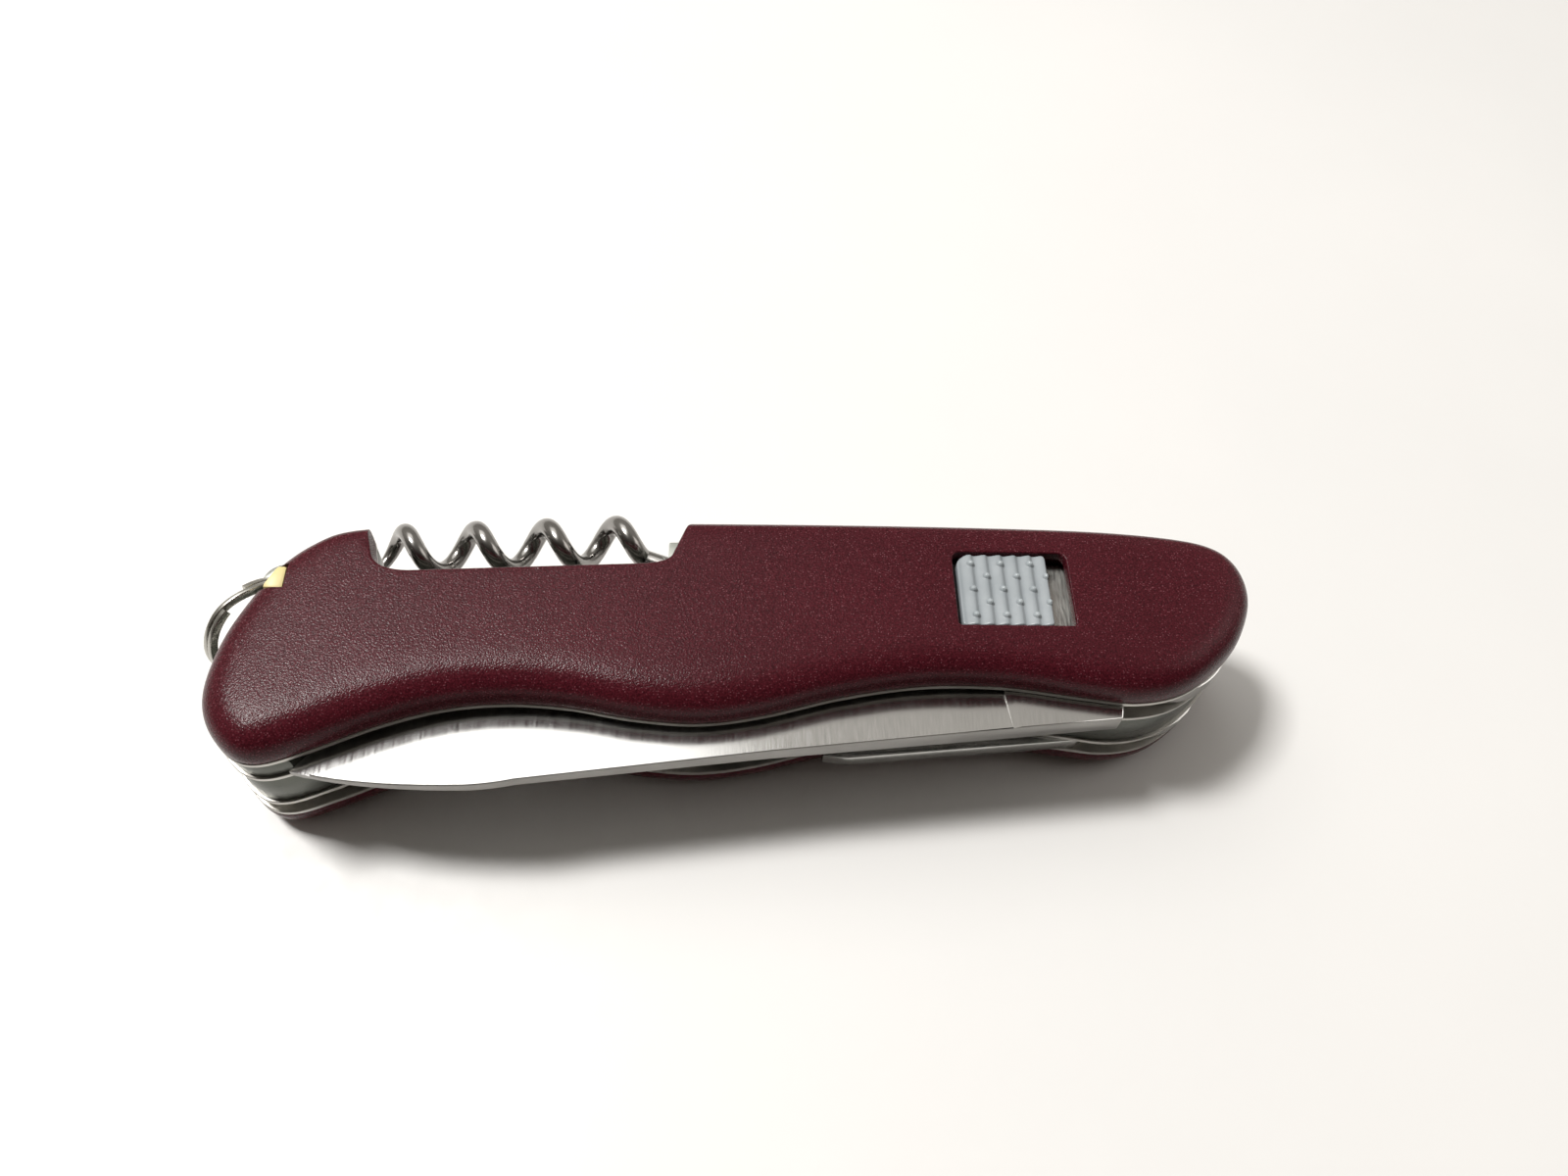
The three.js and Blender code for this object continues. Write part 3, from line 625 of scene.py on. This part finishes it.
def tube(name, centres, radii, sides=20):
    """A round wire along centres, with frames carried along so that it doesn't twist."""
    rings = []
    normal = Vector((0, 0, 1))
    for i, (p, radius) in enumerate(zip(centres, radii)):
        along = (centres[min(i + 1, len(centres) - 1)] - centres[max(i - 1, 0)]).normalized()
        normal = (normal - along * normal.dot(along)).normalized()
        across = along.cross(normal)
        rings.append([p + radius * (math.cos(a) * normal + math.sin(a) * across)
                      for a in (2 * math.pi * s / sides for s in range(sides))])
    return loft(name, rings)


def wire_radius(t):
    return 1.14 - 0.1 * t


def pointed_radius(t):
    return wire_radius(t) * min(1, math.sqrt(max(0.0004, (1 - t) / 0.13)))


def coil_points():
    """The wire's centre line from the hub to the point, with the bend from lead to coil smoothed."""
    out = []
    for i in range(COIL_STEPS + 1):
        t = i / COIL_STEPS
        lead = max(0, 1 - t / LEAD_SHARE)
        angle = -math.pi + COIL_TURNS * 2 * math.pi * max(0, (t - LEAD_SHARE) / (1 - LEAD_SHARE))
        x = COIL_START - COIL_PITCH * angle / (2 * math.pi) + LEAD_LENGTH * lead
        reach = COIL_REACH - wire_radius(t)
        y = SCREW_Y + 0.066 * (x - COIL_START) + reach * math.cos(angle) - LEAD_DROP * lead
        out.append(Vector((x, y, SCREW_Z - reach * math.sin(angle))))
    for _ in range(14):
        for i in range(14, 44):
            out[i] = (out[i - 1] + 2 * out[i] + out[i + 1]) / 4
    return out


settle(tube("corkscrew_wire", coil_points(), [pointed_radius(i / COIL_STEPS) for i in range(COIL_STEPS + 1)]),
       "corkscrew_tool", "coil", COIL_LOOK, "corkscrew", sharp=60)


# ---------------------------------------------------------------- key ring

def split_ring():
    """Two turns of flat wire side by side, joined where the wire crosses over between its two square ends."""
    centre = Vector((-54.39, 4.44, 12.13))
    turn = Matrix.Rotation(math.radians(-39), 3, "Z") @ Matrix.Rotation(math.radians(83.6), 3, "Y")
    radius, side = 5.4, -0.335
    begin, cross, span, end = 198, 515, 55, 887
    steps = 200
    section = [(p.x, p.y) for p in rounded_rectangle(-0.49, 0.49, -0.29, 0.29, [0.13] * 4, 3)]
    rings = []
    for i in range(steps + 1):
        degrees = begin + (end - begin) * i / steps
        share = min(1, max(0, (degrees - cross) / span))
        axial = side * (2 * share * share * (3 - 2 * share) - 1)
        angle = math.radians(degrees)
        outward = Vector((math.cos(angle), math.sin(angle), 0))
        rings.append([centre + turn @ (outward * (radius + u) + Vector((0, 0, axial + v)))
                      for u, v in section])
    return loft("key_ring_wire", rings)


settle(split_ring(), "ring", "ring", RING_LOOK, "key_ring", sharp=50)


# ---------------------------------------------------------------- CAD nodes shown as they are

def smooth_group():
    """Smooth shading, split at the edges that turn by more than about 32 degrees."""
    group = bpy.data.node_groups.new("smooth_by_edge", "GeometryNodeTree")
    group.interface.new_socket("Geometry", in_out="INPUT", socket_type="NodeSocketGeometry")
    group.interface.new_socket("Geometry", in_out="OUTPUT", socket_type="NodeSocketGeometry")
    add, link = group.nodes.new, group.links.new
    source, target = add("NodeGroupInput"), add("NodeGroupOutput")
    bare = add("GeometryNodeRemoveAttribute")
    bare.inputs["Name"].default_value = "custom_normal"
    faces, edges = add("GeometryNodeSetShadeSmooth"), add("GeometryNodeSetShadeSmooth")
    edges.domain = "EDGE"
    faces.inputs["Shade Smooth"].default_value = True
    edges.inputs["Shade Smooth"].default_value = False
    angle, compare = add("GeometryNodeInputMeshEdgeAngle"), add("FunctionNodeCompare")
    compare.operation = "GREATER_THAN"
    compare.inputs[1].default_value = 0.56
    link(source.outputs[0], bare.inputs["Geometry"])
    link(bare.outputs["Geometry"], faces.inputs["Geometry"])
    link(faces.outputs["Geometry"], edges.inputs["Geometry"])
    link(angle.outputs["Unsigned Angle"], compare.inputs[0])
    link(compare.outputs["Result"], edges.inputs["Selection"])
    link(edges.outputs["Geometry"], target.inputs[0])
    return group


SMOOTH = smooth_group()


def dress(node, material, width):
    """A CAD node gets its finish and, where its edges show, a fine rounded edge."""
    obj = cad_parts[node]
    obj.data.materials.clear()
    obj.data.materials.append(material)
    weld = obj.modifiers.new("weld", "WELD")
    weld.merge_threshold = 0.000002
    if width:
        rounded = obj.modifiers.new("edges", "BEVEL")
        rounded.width = width * MM
        rounded.segments = 2
        rounded.limit_method = "ANGLE"
        rounded.angle_limit = math.radians(40)
        rounded.use_clamp_overlap = False
    smooth = obj.modifiers.new("smooth", "NODES")
    smooth.node_group = SMOOTH


for node, material, slot, width in (
        ("front_scale", SCALE_LOOK, "scale", 0), ("rear_scale", SCALE_LOOK, "scale", 0),
        ("front_liner", LINER_LOOK, "liner", 0), ("blade_liner", LINER_LOOK, "liner", 0),
        ("opener_liner", LINER_LOOK, "liner", 0), ("rear_liner", LINER_LOOK, "liner", 0),
        ("blade_backspring", DEEP_SHADED_SPRING_LOOK, "spring", 0.08),
        ("corkscrew_backspring", DEEP_SHADED_SPRING_LOOK, "spring", 0.08),
        ("opener_backspring", DEEP_SHADED_SPRING_LOOK, "spring", 0.08),
        ("head_spacer", DEEP_SHADED_SPRING_LOOK, "spring", 0.08),
        ("head_rivet", RIVET_LOOK, "rivet", 0), ("butt_rivet", RIVET_LOOK, "rivet", 0),
        ("centre_rivet", RIVET_LOOK, "rivet", 0), ("corkscrew_pin", RIVET_LOOK, "rivet", 0),
        ("reamer_pin", RIVET_LOOK, "rivet", 0), ("key_ring_lug", LUG_LOOK, "plate", 0.1),
        ("lock_leaf", SHADED_SPRING_LOOK, "spring", 0.05), ("slide_button", BUTTON_LOOK, "button", 0),
        ("slide_plate", SLIDE_PAINTED_LIGHT_LOOK, "plate", 0.08), ("large_blade", BLADE_LOOK, "blade", 0),
        ("can_opener", TOOL_LOOK, "tool", 0.1), ("bottle_opener", TOOL_LOOK, "tool", 0.1),
        ("corkscrew", COIL_LOOK, "coil", 0), ("corkscrew_hub", HUB_LOOK, "hub", 0.22),
        ("reamer", TOOL_LOOK, "tool", 0.08), ("toothpick", PICK_LOOK, "toothpick", 0.45),
        ("tweezers", TOOL_LOOK, "tool", 0.06), ("tweezers_grip", GRIP_LOOK, "grip", 0.18),
        ("key_ring", RING_LOOK, "ring", 0)):
    dress(node, material, width)


# ---------------------------------------------------------------- stage

def floor_material():
    material, tree, shader, place = new_material("pale_table")
    tint = ramp(tree, noise(tree, place, 9.0, 4.0), (0.3, (0.83, 0.825, 0.815)), (0.7, (0.87, 0.862, 0.85)))
    tree.links.new(tint, shader.inputs["Base Color"])
    fine = noise(tree, place, 400.0, 3.0)
    tree.links.new(ramp(tree, fine, (0.3, 0.4), (0.7, 0.5)), shader.inputs["Roughness"])
    bump(tree, shader, fine, 0.00002, 0.4)
    return material


floor = mesh_object("table_top", [(-2, -2, 0), (2, -2, 0), (2, 2, 0), (-2, 2, 0)], [(0, 1, 2, 3)])
floor.data.materials.append(floor_material())

world = bpy.data.worlds.new("room")
bpy.context.scene.world = world
world.use_nodes = True
sky = world.node_tree
background = sky.nodes["Background"]
background.inputs["Strength"].default_value = 1.0
direction = sky.nodes.new("ShaderNodeTexCoord")
axes = sky.nodes.new("ShaderNodeSeparateXYZ")
sky.links.new(direction.outputs["Generated"], axes.inputs[0])
reach = sky.nodes.new("ShaderNodeMapRange")
reach.inputs["From Min"].default_value = -0.5
reach.inputs["From Max"].default_value = 0.5
sky.links.new(axes.outputs["Y"], reach.inputs["Value"])
sky.links.new(ramp(sky, reach.outputs["Result"], (0.0, (0.035, 0.028, 0.022)), (1.0, (0.45, 0.425, 0.388))),
              background.inputs["Color"])


def softbox(name, place, size, power, color, target=None):
    """An area light that faces target, or straight down."""
    data = bpy.data.lights.new(name, "AREA")
    data.shape = "RECTANGLE"
    data.size, data.size_y = size
    data.energy = power
    data.color = color
    obj = bpy.data.objects.new(name, data)
    bpy.context.scene.collection.objects.link(obj)
    obj.location = place
    if target:
        obj.rotation_euler = (Vector(target) - Vector(place)).to_track_quat("-Z", "Y").to_euler()


softbox("ceiling_light", (-0.31, 0.42, 0.7), (0.6, 0.6), 1.6, (1.0, 0.99, 0.97))
softbox("key_light", (-0.37, 0.15, 0.8), (0.16, 0.18), 7.1, (1.0, 0.985, 0.96), (0, 0, 0.01))
softbox("fill_light", (0.62, 0.06, 0.5), (0.4, 0.4), 0.7, (1.0, 0.96, 0.92), (0, 0, 0.01))

# ---------------------------------------------------------------- camera

camera_data = bpy.data.cameras.new("photo_camera")
camera_data.lens = 28.125
camera_data.sensor_width = 36
camera_data.clip_start = 0.005
camera = bpy.data.objects.new("photo_camera", camera_data)
bpy.context.scene.collection.objects.link(camera)
right = Vector((0.99807, -0.0216, 0.05827))
down = Vector((0.01267, -0.84725, -0.53104))
forward = Vector((0.06085, 0.53075, -0.84534))
camera.matrix_world = (Matrix.Translation((-0.00297, -0.06724, 0.13193))
                       @ Matrix((right, -down, -forward)).transposed().to_4x4())
bpy.context.scene.camera = camera
bpy.context.scene.view_settings.view_transform = "Standard"
